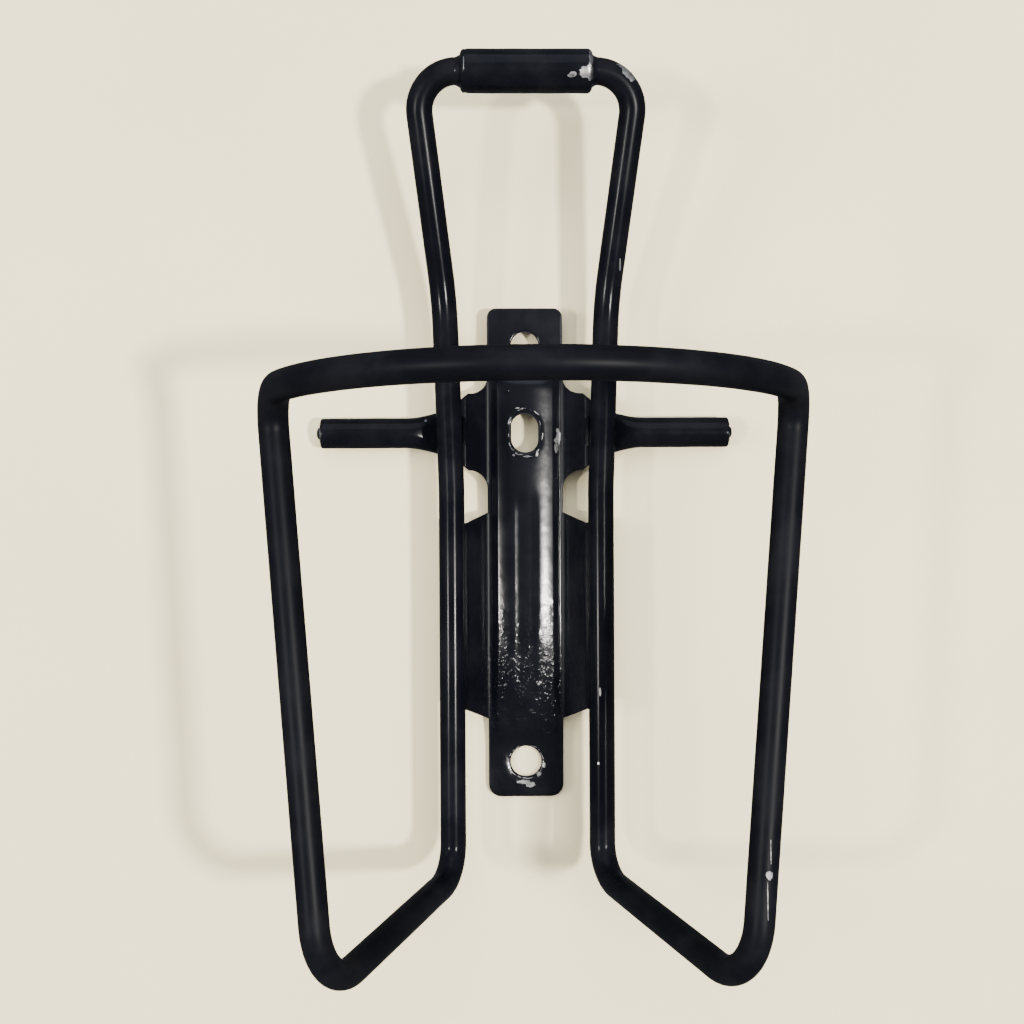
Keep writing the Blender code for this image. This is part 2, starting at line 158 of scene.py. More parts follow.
def make_piece(name, verts, faces, finish, *nodes, smooth_angle=38.0):
    """Make one mesh piece that rides on the body and stands for CAD nodes."""
    mesh = bpy.data.meshes.new(name)
    mesh.from_pydata([to_frame(vert) for vert in verts], [], faces)
    mesh.validate()
    shape = bmesh.new()
    shape.from_mesh(mesh)
    bmesh.ops.recalc_face_normals(shape, faces=shape.faces)
    shape.to_mesh(mesh)
    shape.free()
    mesh.shade_smooth()
    mesh.set_sharp_from_angle(angle=math.radians(smooth_angle))
    mesh.materials.append(finish)
    piece = bpy.data.objects.new(name, mesh)
    bpy.context.scene.collection.objects.link(piece)
    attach(piece, BODY)
    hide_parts(*nodes)


def smooth_step(value, start, run):
    """0 before start, 1 after start + run, and a smooth change between them."""
    t = min(max((value - start) / run, 0.0), 1.0)
    return t * t * (3.0 - 2.0 * t)


def soft_corner(distance, softness):
    """0 below zero and the distance itself above it, with a rounded corner between."""
    if distance > 30.0 * softness:
        return distance
    return softness * math.log1p(math.exp(distance / softness))


def soft_step(value, start, end, softness):
    """A straight climb from 0 at start to 1 at end, with rounded corners."""
    climbed = soft_corner(value - start, softness) - soft_corner(value - end, softness)
    return climbed / (end - start)


def eased_climb(value, start, run):
    """0 before start, a soft fold there, then a climb that eases off to 1 at start + run."""
    left = 1.0 - min(soft_corner(value - start, FOLD_SOFTNESS) / run, 1.0)
    return 1.0 - left * left


def ripple(point, size, seed):
    """Smooth noise between about -1 and 1 with features of one size."""
    return noise.noise(Vector(point) / size + Vector((seed, 2.0 * seed, 3.0 * seed)))


def rounded_corner(before, corner, after, radius, steps):
    """Points of the arc that rounds one corner of a path."""
    to_before = (before - corner).normalized()
    to_after = (after - corner).normalized()
    half_angle = to_before.angle(to_after) / 2.0
    start = corner + to_before * (radius / math.tan(half_angle))
    centre = corner + (to_before + to_after).normalized() * (radius / math.sin(half_angle))
    axis = to_before.cross(to_after)
    turn = math.pi - 2.0 * half_angle
    arm = start - centre
    return [centre + Matrix.Rotation(-turn * i / steps, 3, axis) @ arm for i in range(steps + 1)]


def hoop_arc():
    """The hoop's centre line over the bottle, from the right corner to the front's middle."""
    rise = HOOP_FRONT_Z - HOOP_Z
    radius = (HOOP_HALF_WIDTH ** 2 + rise ** 2) / (2.0 * rise)
    centre_z = HOOP_FRONT_Z - radius
    first = math.asin((HOOP_Z - centre_z) / radius)
    points = []
    for i in range(HOOP_STEPS + 1):
        angle = first + (math.pi / 2.0 - first) * i / HOOP_STEPS
        z = centre_z + radius * math.sin(angle)
        y = HOOP_Y + (HOOP_FRONT_Y - HOOP_Y) * (z - HOOP_Z) / rise
        points.append(Vector((radius * math.cos(angle), y, z)))
    return points


def blend_bend(start, start_heading, end, end_heading, handle, steps):
    """A smooth bend from one straight run into a curved one."""
    first = start + start_heading * handle
    second = end - end_heading * handle
    points = []
    for i in range(steps + 1):
        t = i / steps
        s = 1.0 - t
        points.append(start * s ** 3 + first * (3 * s * s * t) + second * (3 * s * t * t) + end * t ** 3)
    return points


def half_rod_path():
    """The rod's centre line on the right: sleeve, neck, back tube, leg, upright and half the hoop."""
    middle = Vector((ROD_END_GAP / 2.0, TOP_Y, TOP_Z))
    top = Vector((TOP_HALF_WIDTH, TOP_Y, TOP_Z))
    neck = Vector((NECK_HALF_WIDTH, NECK_Y, ROD_Z))
    waist = Vector((BACK_HALF_WIDTH, WAIST_Y, ROD_Z))
    foot = Vector((BACK_HALF_WIDTH, FOOT_Y, ROD_Z))
    toe = Vector((TOE_HALF_WIDTH, TOE_Y, TOE_Z))
    hoop_corner = Vector((HOOP_HALF_WIDTH, HOOP_Y, HOOP_Z))
    path = [middle]
    path += rounded_corner(middle, top, neck, TOP_BEND, 22)
    path += rounded_corner(top, neck, waist, NECK_BEND, 14)
    path += rounded_corner(neck, waist, foot, WAIST_BEND, 10)
    path += rounded_corner(waist, foot, toe, FOOT_BEND, 22)
    path += rounded_corner(foot, toe, hoop_corner, TOE_BEND, 26)
    arc = hoop_arc()
    joined = next(i for i, point in enumerate(arc) if (point - hoop_corner).length > HOOP_BEND)
    heading = (hoop_corner - toe).normalized()
    arc_heading = (arc[joined + 1] - arc[joined - 1]).normalized()
    path += blend_bend(hoop_corner - heading * HOOP_BEND, heading, arc[joined], arc_heading,
                       HOOP_BEND * HOOP_HANDLE, 22)
    path += arc[joined + 1:]
    return path


def with_stations(path, spacing):
    """The same path with extra points on its long straight stretches."""
    points = [path[0]]
    for end in path[1:]:
        start = points[-1]
        count = max(1, math.ceil((end - start).length / spacing))
        points += [start.lerp(end, i / count) for i in range(1, count + 1)]
    return points


def frame_rod(finish):
    """The rod swept along its whole path, with a skin of paint that is not quite even."""
    right = half_rod_path()
    left = [Vector((-point.x, point.y, point.z)) for point in reversed(right[:-1])]
    path = with_stations(right + left, STATION)
    verts, faces = [], []
    across = Vector((0.0, 0.0, 1.0))
    for i, point in enumerate(path):
        heading = (path[min(i + 1, len(path) - 1)] - path[max(i - 1, 0)]).normalized()
        across = (across - heading * across.dot(heading)).normalized()
        other = heading.cross(across)
        for side in range(ROD_SIDES):
            angle = 2.0 * math.pi * side / ROD_SIDES
            outward = across * math.cos(angle) + other * math.sin(angle)
            place = point + outward * ROD_RADIUS
            skin = 0.014 * ripple(place, 7.0, 5.0) + 0.002 * ripple(place, 2.0, 9.0)
            verts.append(place + outward * (skin - 0.02))
    for i in range(len(path) - 1):
        for side in range(ROD_SIDES):
            after = (side + 1) % ROD_SIDES
            faces.append((i * ROD_SIDES + side, i * ROD_SIDES + after,
                          (i + 1) * ROD_SIDES + after, (i + 1) * ROD_SIDES + side))
    faces.append(tuple(reversed(range(ROD_SIDES))))
    last = (len(path) - 1) * ROD_SIDES
    faces.append(tuple(range(last, last + ROD_SIDES)))
    make_piece("rod_frame", verts, faces, finish, "frame_rod", smooth_angle=50.0)


def turned(profile, sides, uneven, seed):
    """Vertices and faces of a closed ring turned about the sleeve's axis, from (x, radius) points."""
    verts, faces = [], []
    count = len(profile)
    for side in range(sides):
        angle = 2.0 * math.pi * side / sides
        for x, radius in profile:
            spot = Vector((x, radius * math.cos(angle), radius * math.sin(angle)))
            grown = radius + uneven * (ripple(spot, 4.0, seed) - 0.5)
            verts.append((x, TOP_Y + grown * math.cos(angle), TOP_Z + grown * math.sin(angle)))
    for side in range(sides):
        after = (side + 1) % sides
        for i in range(count):
            j = (i + 1) % count
            faces.append((side * count + i, side * count + j, after * count + j, after * count + i))
    return verts, faces


def arc_points(centre_x, centre_y, radius, first_degrees, last_degrees, steps):
    """Points of a flat arc, as (x, y) pairs, or as (x, radius) pairs of a turned profile."""
    points = []
    for i in range(steps + 1):
        angle = math.radians(first_degrees + (last_degrees - first_degrees) * i / steps)
        points.append((centre_x + radius * math.cos(angle), centre_y + radius * math.sin(angle)))
    return points


def top_sleeve(finish):
    """The sleeve: a cut tube with filed ends, and a faint neck behind the left lip."""
    bore = ROD_RADIUS + GAP
    edge = 1.0
    reach = SLEEVE_HALF - edge
    outer = arc_points(-reach, SLEEVE_RADIUS - edge, edge, 180.0, 90.0, 10)
    outer += [(x, SLEEVE_RADIUS) for x in steps_between(-reach, reach, 0.3)[1:-1]]
    outer += arc_points(reach, SLEEVE_RADIUS - edge, edge, 90.0, 0.0, 10)
    neck, neck_depth, neck_width = -SLEEVE_HALF + 0.95, 0.13, 0.2
    outer = [(x, radius - neck_depth * math.exp(-((x - neck) / neck_width) ** 2)) for x, radius in outer]
    profile = [(-SLEEVE_HALF, bore)] + outer + [(SLEEVE_HALF, bore)]
    verts, faces = turned(profile, 96, 0.05, 3.0)
    make_piece("sleeve_tube", verts, faces, finish, "top_sleeve")


def sleeve_braze(word, side, finish):
    """The ring of braze that runs from the sleeve's end down to the rod."""
    start = SLEEVE_HALF - 0.1
    end = SLEEVE_HALF + 1.15
    rim = SLEEVE_RADIUS - 0.95
    foot = ROD_RADIUS - 0.05
    outer = []
    steps = 12
    for i in range(steps + 1):
        t = i / steps
        outer.append((side * (start + (end - start) * t), foot + (rim - foot) * (1.0 - t) ** 1.5 + 0.05))
    profile = [(side * start, foot - 0.2)] + outer + [(side * end, foot - 0.2)]
    verts, faces = turned(profile, 72, 0.09, 11.0 + side)
    make_piece(f"sleeve_fillet_{word}", verts, faces, finish, f"sleeve_braze_{word}")


def plate_outline():
    """The flat blank's outline: the right side from the top down, then its mirror image."""
    half = PLATE_HALF_WIDTH
    corner = PLATE_CORNER
    fillet = UPPER_WING_FILLET
    end_corner = PLATE_END_CORNER
    right = arc_points(half - corner, PLATE_TOP_Y - corner, corner, 90.0, 0.0, 10)
    right += arc_points(half + fillet, UPPER_WING[0] + fillet, fillet, 180.0, 270.0, 12)
    right += [(UPPER_WING_CHAMFER_X, UPPER_WING[0]), (WING_END_X, UPPER_WING_TIP[0]),
              (WING_END_X, UPPER_WING_TIP[1]), (UPPER_WING_CHAMFER_X, UPPER_WING[1])]
    right += arc_points(half + fillet, UPPER_WING[1] - fillet, fillet, 90.0, 180.0, 12)
    right += [(half, LOWER_WING[0]), (WING_BEND_X, LOWER_WING_TIP[0]), (WING_END_X, LOWER_WING_TIP[0]),
              (WING_END_X, LOWER_WING_TIP[1]), (WING_BEND_X, LOWER_WING_TIP[1]), (half, LOWER_WING[1])]
    right += arc_points(half - end_corner, PLATE_BOTTOM_Y + end_corner, end_corner, 0.0, -90.0, 12)
    return right + [(-x, y) for x, y in reversed(right)]


def slot_outline(centre_y, radius, length):
    """A rounded slot along Y, or a round hole when length is twice radius."""
    reach = length / 2.0 - radius
    return (arc_points(0.0, centre_y + reach, radius, 0.0, 180.0, HOLE_STEPS)
            + arc_points(0.0, centre_y - reach, radius, 180.0, 360.0, HOLE_STEPS))


def prism_object(outline, low, high):
    """A flat outline extruded along Z, as a temporary object in millimetres."""
    shape = bmesh.new()
    bottom = [shape.verts.new((x, y, low)) for x, y in outline]
    bmesh.ops.remove_doubles(shape, verts=shape.verts, dist=0.001)
    bottom = [vert for vert in bottom if vert.is_valid]
    raised = bmesh.ops.extrude_face_region(shape, geom=[shape.faces.new(bottom)])["geom"]
    moved = [part for part in raised if isinstance(part, bmesh.types.BMVert)]
    bmesh.ops.translate(shape, verts=moved, vec=(0.0, 0.0, high - low))
    bmesh.ops.recalc_face_normals(shape, faces=shape.faces)
    return temporary_object(shape)


def temporary_object(shape):
    """A bmesh as an object that a cut uses up."""
    mesh = bpy.data.meshes.new("temporary")
    shape.to_mesh(mesh)
    shape.free()
    made = bpy.data.objects.new("temporary", mesh)
    bpy.context.scene.collection.objects.link(made)
    return made


def cut_with(target, cutters):
    """Cut objects out of a target and give the result as a bmesh."""
    for cutter in cutters:
        cut = target.modifiers.new("cut", "BOOLEAN")
        cut.operation = "DIFFERENCE"
        cut.solver = "EXACT"
        cut.object = cutter
    bpy.context.view_layer.update()
    evaluated = target.evaluated_get(bpy.context.evaluated_depsgraph_get())
    result = bmesh.new()
    result.from_mesh(evaluated.to_mesh())
    for spent in [target, *cutters]:
        bpy.data.objects.remove(spent, do_unlink=True)
    return result


def round_rims(shape, offset, segments):
    """Round every edge where a flat face of the blank meets its cut side."""
    rims = []
    for edge in shape.edges:
        if len(edge.link_faces) != 2:
            continue
        first, second = [abs(face.normal.z) for face in edge.link_faces]
        if max(first, second) > 0.9 and min(first, second) < 0.1:
            rims.append(edge)
    bmesh.ops.bevel(shape, geom=rims, offset=offset, segments=segments, profile=0.5,
                    affect="EDGES", clamp_overlap=True)


def slice_lines(shape, places, axis):
    """Add lines of edges across the shape at places along one axis."""
    normal = Vector((1.0, 0.0, 0.0)) if axis == 0 else Vector((0.0, 1.0, 0.0))
    for place in places:
        everything = list(shape.verts) + list(shape.edges) + list(shape.faces)
        bmesh.ops.bisect_plane(shape, geom=everything, dist=0.0005, plane_co=normal * place,
                               plane_no=normal)


def steps_between(low, high, spacing):
    """Evenly spaced places from low to high, about one spacing apart."""
    count = max(1, round((high - low) / spacing))
    return [low + (high - low) * i / count for i in range(count + 1)]


def hole_distance(x, y, centre_y, radius, length):
    """Distance from the rim of a slot or hole, outside it."""
    beyond = max(abs(y - centre_y) - (length / 2.0 - radius), 0.0)
    return math.hypot(x, beyond) - radius


def plate_rise(x, y):
    """Height of the pressed sheet above the flat blank at one point."""
    across = abs(x)
    seat = SEAT_Z * eased_climb(y, *SEAT_DROP)
    web = (1.0 - smooth_step(across, WEB_FLANK, WEB_FOOT - WEB_FLANK)) * (WEB_RISE - WEB_CROWN * x * x)
    web *= eased_climb(y, *WEB_START) * (1.0 - smooth_step(y, *WEB_END))
    groove = GROOVE_DEPTH * (1.0 - smooth_step(across, GROOVE_FLOOR, GROOVE_HALF_WIDTH - GROOVE_FLOOR))
    groove *= smooth_step(y, *GROOVE_START) * (1.0 - smooth_step(y, *GROOVE_END))
    slope = soft_step(across, WING_ROOT, WING_BEND_X, WING_SOFTNESS)
    return seat + web - groove + (WING_FACE_Z - SHEET - seat) * slope


def plate_dents(x, y):
    """Dishes that bolt heads pressed round the holes, on the front of the sheet."""
    low = hole_distance(x, y, LOWER_HOLE_Y, LOWER_HOLE_RADIUS, 2.0 * LOWER_HOLE_RADIUS)
    mid = hole_distance(x, y, SLOT_Y, SLOT_RADIUS, SLOT_LENGTH)
    low_depth, low_width = 0.22, 0.8
    mid_depth, mid_width = 0.16, 0.55
    return (-low_depth * math.exp(-(low / low_width) ** 2)
            - mid_depth * math.exp(-(mid / mid_width) ** 2))


def plate_lumps(x, y):
    """Runs and lumps of thick paint, most of them towards the plate's lower end."""
    thick = smooth_step(-y, 8.0, 22.0) * (1.0 - smooth_step(abs(x), 6.6, 0.9))
    thick *= 1.0 + smooth_step(-y, 30.0, 4.0) - 1.5 * smooth_step(-y, 42.0, 4.0)
    spot = (x, y, 0.0)
    lumps = 0.025 * ripple(spot, 1.0, 4.0) + 0.03 * ripple(spot, 2.4, 6.0)
    blobs = max(ripple(spot, 1.5, 14.0) - 0.25, 0.0) * 0.25
    return thick * (lumps + blobs) + 0.012 * ripple(spot, 3.0, 8.0)


def mounting_plate(finish):
    """The blank with rounded rims, gridded finely, then pressed and covered in paint."""
    openings = [slot_outline(LOWER_HOLE_Y, LOWER_HOLE_RADIUS, 2.0 * LOWER_HOLE_RADIUS),
                slot_outline(SLOT_Y, SLOT_RADIUS, SLOT_LENGTH),
                slot_outline(UPPER_SLOT_Y, SLOT_RADIUS, SLOT_LENGTH)]
    shape = cut_with(prism_object(plate_outline(), 0.0, SHEET),
                     [prism_object(outline, -SHEET, 2.0 * SHEET) for outline in openings])
    round_rims(shape, SHEET_EDGE, 3)
    slice_lines(shape, steps_between(-7.6, 7.6, 0.4), 0)
    for side in (-1.0, 1.0):
        creases = steps_between(5.2, 7.1, 0.15) + steps_between(7.2, 7.7, 0.06) + [7.85, 8.1]
        creases += steps_between(11.1, 11.4, 0.15) + steps_between(11.45, 11.95, 0.06) + [12.1, 12.4]
        slice_lines(shape, [side * x for x in creases + [9.0, 10.0]], 0)
    slice_lines(shape, steps_between(-55.0, 39.0, 0.55), 1)
    bmesh.ops.triangulate(shape, faces=[face for face in shape.faces if len(face.verts) > 4])
    for vert in shape.verts:
        x, y, z = vert.co
        front = z / SHEET
        rise = plate_rise(x, y) + front * (plate_dents(x, y) + plate_lumps(x, y))
        vert.co.z = z + rise
    shape.verts.index_update()
    verts = [tuple(vert.co) for vert in shape.verts]
    faces = [tuple(vert.index for vert in face.verts) for face in shape.faces]
    shape.free()
    make_piece("pressed_plate", verts, faces, finish, "mounting_plate", smooth_angle=55.0)


def bar_section(x):
    """Half width and half thickness of the crossbar at one distance from its middle."""
    roundness = smooth_step(abs(x), BAR_FLAT_X, BAR_ROUND_X - BAR_FLAT_X)
    half_width = BAR_FLAT_HALF_WIDTH + (BAR_RADIUS - BAR_FLAT_HALF_WIDTH) * roundness
    half_thick = BAR_FLAT_THICKNESS / 2.0 + (BAR_RADIUS - BAR_FLAT_THICKNESS / 2.0) * roundness
    return half_width, half_thick


def bar_ring(x, scale):
    """One section of the crossbar: a rounded box whose ends are half circles, or a full circle."""
    half_width, half_thick = bar_section(x)
    reach = half_width - half_thick
    points = []
    for i in range(BAR_SIDES):
        angle = 2.0 * math.pi * (i + 0.5) / BAR_SIDES
        side = 1.0 if math.cos(angle) > 0.0 else -1.0
        y = side * reach + half_thick * math.cos(angle)
        z = half_thick * math.sin(angle)
        points.append((x, SLOT_Y + y * scale, half_thick + z * scale))
    return points


def crossbar(finish):
    """The forged bar: turned tips with a pip, round arms, a flare and a slotted flat."""
    half = [(-BAR_HALF_LENGTH + inward, scale) for inward, scale in BAR_TIP]
    half += [(x, 1.0) for x in steps_between(-BAR_HALF_LENGTH + 2.0, -BAR_ROUND_X, 1.5)]
    half += [(x, 1.0) for x in steps_between(-BAR_ROUND_X, -BAR_FLAT_X, 0.6)[1:]]
    half += [(x, 1.0) for x in steps_between(-BAR_FLAT_X, 0.0, 1.0)[1:-1]]
    stations = half + [(0.0, 1.0)] + [(-x, scale) for x, scale in reversed(half)]
    shape = bmesh.new()
    rings = [[shape.verts.new(point) for point in bar_ring(x, scale)] for x, scale in stations]
    for first, second in zip(rings[:-1], rings[1:]):
        for i in range(BAR_SIDES):
            j = (i + 1) % BAR_SIDES
            shape.faces.new((first[i], first[j], second[j], second[i]))
    shape.faces.new(rings[0])
    shape.faces.new(list(reversed(rings[-1])))
    bmesh.ops.recalc_face_normals(shape, faces=shape.faces)
    slot = prism_object(slot_outline(SLOT_Y, SLOT_RADIUS, SLOT_LENGTH), -2.0, 2.0 * BAR_RADIUS)
    cut = cut_with(temporary_object(shape), [slot])
    bmesh.ops.remove_doubles(cut, verts=cut.verts, dist=SLIVER)
    bmesh.ops.dissolve_degenerate(cut, dist=SLIVER, edges=cut.edges)
    bmesh.ops.triangulate(cut, faces=[face for face in cut.faces if len(face.verts) > 4])
    cut.verts.index_update()
    verts = []
    for vert in cut.verts:
        spot = vert.co
        away = Vector((0.0, spot.y - SLOT_Y, spot.z - BAR_RADIUS)).normalized()
        verts.append(spot + away * (0.03 * ripple(spot, 2.4, 7.0) - 0.03))
    faces = [tuple(vert.index for vert in face.verts) for face in cut.faces]
    cut.free()
    make_piece("forged_crossbar", verts, faces, finish, "crossbar", smooth_angle=45.0)


def strip(section, places, uneven, seed, along):
    """Vertices and faces of a seam: a section carried along X or Y and tapered at both ends."""
    verts, faces = [], []
    count = len(section)
    core = (sum(a for a, b in section) / count, sum(b for a, b in section) / count)
    for step, place in enumerate(places):
        near_end = min(step, len(places) - 1 - step)
        size = SEAM_TAPER[near_end] if near_end < len(SEAM_TAPER) else 1.0
        swell = size * (1.0 + uneven * ripple((place, core[0], core[1]), 2.0, seed))
        for a, b in section:
            a, b = core[0] + (a - core[0]) * swell, core[1] + (b - core[1]) * swell
            verts.append((a, place, b) if along == "Y" else (place, a, b))
    for step in range(len(places) - 1):
        for i in range(count):
            j = (i + 1) % count
            faces.append((step * count + i, step * count + j, (step + 1) * count + j, (step + 1) * count + i))
    faces.append(tuple(range(count)))
    faces.append(tuple(reversed(range((len(places) - 1) * count, len(places) * count))))
    return verts, faces


def wing_seam_section(side):
    """The concave fillet between a wing's bend and the inner side of a back tube."""
    tube = arc_points(BACK_HALF_WIDTH, ROD_Z, ROD_RADIUS - 0.04, 204.0, 240.0, 6)
    top, foot = tube[0], (WING_BEND_X - 0.55, WING_FACE_Z - 0.35)
    hollow = (WING_BEND_X + 0.25, WING_FACE_Z + 0.45)
    face = []
    for i in range(1, 8):
        t = i / 8.0
        s = 1.0 - t
        face.append(tuple(s * s * f + 2.0 * s * t * h + t * t * p for f, h, p in zip(foot, hollow, top)))
    section = [foot, *face, *tube, (tube[-1][0], WING_FACE_Z - 0.1), (WING_BEND_X, WING_FACE_Z - 0.2)]
    return [(side * x, z) for x, z in section]


def seams(finish):
    """Every seam of braze under its coat of enamel."""
    for side, word in ((-1.0, "left"), (1.0, "right")):
        section = wing_seam_section(side)
        for place, tips in (("upper", UPPER_WING_TIP), ("lower", LOWER_WING_TIP)):
            places = steps_between(tips[1] + 0.2, tips[0] - 0.2, SEAM_STEP)
            verts, faces = strip(section, places, 0.12, 21.0 + side, "Y")
            make_piece(f"{place}_wing_fillet_{word}", verts, faces, finish, f"{place}_wing_braze_{word}",
                       smooth_angle=60.0)
        sleeve_braze(word, side, finish)
    for side, word in ((-1.0, "bottom"), (1.0, "top")):
        edge = SLOT_Y + side * (BAR_FLAT_HALF_WIDTH - 0.4)
        section = [(edge, 0.9)]
        for i in range(7):
            t = i / 6.0
            section.append((edge + side * (0.35 + 1.5 * t ** 1.8), 1.1 + 1.65 * t ** 0.7))
        section.append((edge, 2.75))
        places = steps_between(-PLATE_HALF_WIDTH + 0.8, PLATE_HALF_WIDTH - 0.8, SEAM_STEP)
        verts, faces = strip(section, places, 0.15, 31.0 + side, "X")
        make_piece(f"crossbar_fillet_{word}", verts, faces, finish, f"crossbar_braze_{word}",
                   smooth_angle=60.0)


# ---------------------------------------------------------------- materials

class Nodes:
    """Short calls for building a shader tree out of math on object coordinates."""

    def __init__(self, name):
        self.material = bpy.data.materials.new(name)
        self.material.use_nodes = True
        self.tree = self.material.node_tree
        self.shader = self.tree.nodes["Principled BSDF"]
        self.place = self.tree.nodes.new("ShaderNodeTexCoord").outputs["Object"]
        axes = self.tree.nodes.new("ShaderNodeSeparateXYZ")
        self.link(self.place, axes.inputs[0])
        self.x, self.y, self.z = axes.outputs

    def link(self, source, target):
        """Join an output to an input."""
        self.tree.links.new(source, target)

    def feed(self, socket, value):
        """Set an input to a number, or join it to an output."""
        if hasattr(value, "links"):
            self.link(value, socket)
        else:
            socket.default_value = value

    def math(self, operation, first, second=0.0):
        """One sum on numbers or outputs."""
        node = self.tree.nodes.new("ShaderNodeMath")
        node.operation = operation
        self.feed(node.inputs[0], first)
        self.feed(node.inputs[1], second)
        return node.outputs[0]

    def noise(self, size_mm, detail=3.0, roughness=0.55, stretch=None, seed=0.0):
        """Noise with features of about one size."""
        mapping = self.tree.nodes.new("ShaderNodeMapping")
        self.link(self.place, mapping.inputs["Vector"])
        mapping.inputs["Location"].default_value = (seed, seed * 1.7, seed * 0.6)
        if stretch:
            mapping.inputs["Scale"].default_value = stretch
        node = self.tree.nodes.new("ShaderNodeTexNoise")
        self.link(mapping.outputs["Vector"], node.inputs["Vector"])
        node.inputs["Scale"].default_value = 1.0 / (size_mm * MM)
        node.inputs["Detail"].default_value = detail
        node.inputs["Roughness"].default_value = roughness
        return node.outputs["Fac"]

    def ramp(self, value, low, high, to_low=0.0, to_high=1.0):
        """Map a range onto another one, clamped and smooth."""
        node = self.tree.nodes.new("ShaderNodeMapRange")
        node.interpolation_type = "SMOOTHSTEP"
        node.inputs["From Min"].default_value = low
        node.inputs["From Max"].default_value = high
        node.inputs["To Min"].default_value = to_low
        node.inputs["To Max"].default_value = to_high
        self.feed(node.inputs["Value"], value)
        return node.outputs["Result"]

    def mix(self, factor, first, second):
        """Mix two colours, each a triple or an output."""
        node = self.tree.nodes.new("ShaderNodeMix")
        node.data_type = "RGBA"
        self.feed(node.inputs[0], factor)
        for socket, colour in ((node.inputs[6], first), (node.inputs[7], second)):
            if hasattr(colour, "links"):
                self.link(colour, socket)
            else:
                socket.default_value = (*colour, 1.0)
        return node.outputs[2]

    def along(self, start, end, at_start=0.0, at_end=1.0):
        """A ramp along the cage, between two places in datum millimetres."""
        return self.ramp(self.y, (start + DATUM_Y) * MM, (end + DATUM_Y) * MM, at_start, at_end)

    def spot(self, centre, size, edge_noise):
        """1 inside a ragged spot of a size in millimetres around a datum point."""
        offset = self.tree.nodes.new("ShaderNodeVectorMath")
        offset.operation = "SUBTRACT"
        self.link(self.place, offset.inputs[0])
        offset.inputs[1].default_value = to_frame(centre)
        divide = self.tree.nodes.new("ShaderNodeVectorMath")
        divide.operation = "DIVIDE"
        self.link(offset.outputs[0], divide.inputs[0])
        divide.inputs[1].default_value = tuple(part * MM for part in size)
        length = self.tree.nodes.new("ShaderNodeVectorMath")
        length.operation = "LENGTH"
        self.link(divide.outputs[0], length.inputs[0])
        ragged = self.math("ADD", length.outputs["Value"], edge_noise)
        return self.ramp(ragged, 0.94, 1.06, 1.0, 0.0)

    def most(self, values):
        """The largest of several outputs."""
        largest = values[0]
        for value in values[1:]:
            largest = self.math("MAXIMUM", largest, value)
        return largest

    def wear_and_highlight_line(self, centre_y, radius, length, inner, outer, amount):
        """1 on a broken line that runs round a slot between two distances from its rim, in millimetres; the
        line is partly paint wear and partly a painted highlight of the rim.
        """
        y_mm = self.math("ADD", self.math("MULTIPLY", self.y, 1.0 / MM), -(centre_y + DATUM_Y))
        past_end = self.math("ADD", self.math("ABSOLUTE", y_mm), radius - length / 2.0)
        beyond = self.math("MAXIMUM", past_end, 0.0)
        x_mm = self.math("MULTIPLY", self.x, 1.0 / MM)
        square = self.math("ADD", self.math("MULTIPLY", x_mm, x_mm), self.math("MULTIPLY", beyond, beyond))
        wobble = self.ramp(self.noise(1.6, 2.0, 0.5, seed=12.0), 0.3, 0.7, -0.12, 0.12)
        away = self.math("ADD", self.math("ADD", self.math("SQRT", square), -radius), wobble)
        middle, half = (inner + outer) / 2.0, (outer - inner) / 2.0
        line = self.ramp(self.math("ABSOLUTE", self.math("ADD", away, -middle)), half * 0.5, half, 1.0, 0.0)
        broken = self.ramp(self.noise(1.3, 3.0, 0.6, seed=5.0), 0.56 - amount * 0.3, 0.66 - amount * 0.3)
        return self.math("MULTIPLY", line, broken)


ENAMEL = (0.0026, 0.0028, 0.0044)
ENAMEL_DUSTY = (0.0062, 0.0064, 0.0085)
# Bare steel colours, for flaked paint and also for the painted highlights at the plate's rims and flank and
# the crossbar's left tip.
BARE_AND_GLINT = (0.44, 0.44, 0.43)
BARE_DULL_AND_GLINT = (0.20, 0.20, 0.20)
CLEAN_GLOSS, DUSTY_GLOSS = 0.165, 0.21    # roughness of the enamel, clean and dusty
DULL_FROM, DULL_TO = 14.0, 32.0           # heights between which the rod's enamel grows duller
GRIME = (0.2, 0.45)                       # how near the fold of a wing grime is at its full, and none
BUMP_STRENGTH, BUMP_DISTANCE = 0.4, 0.1


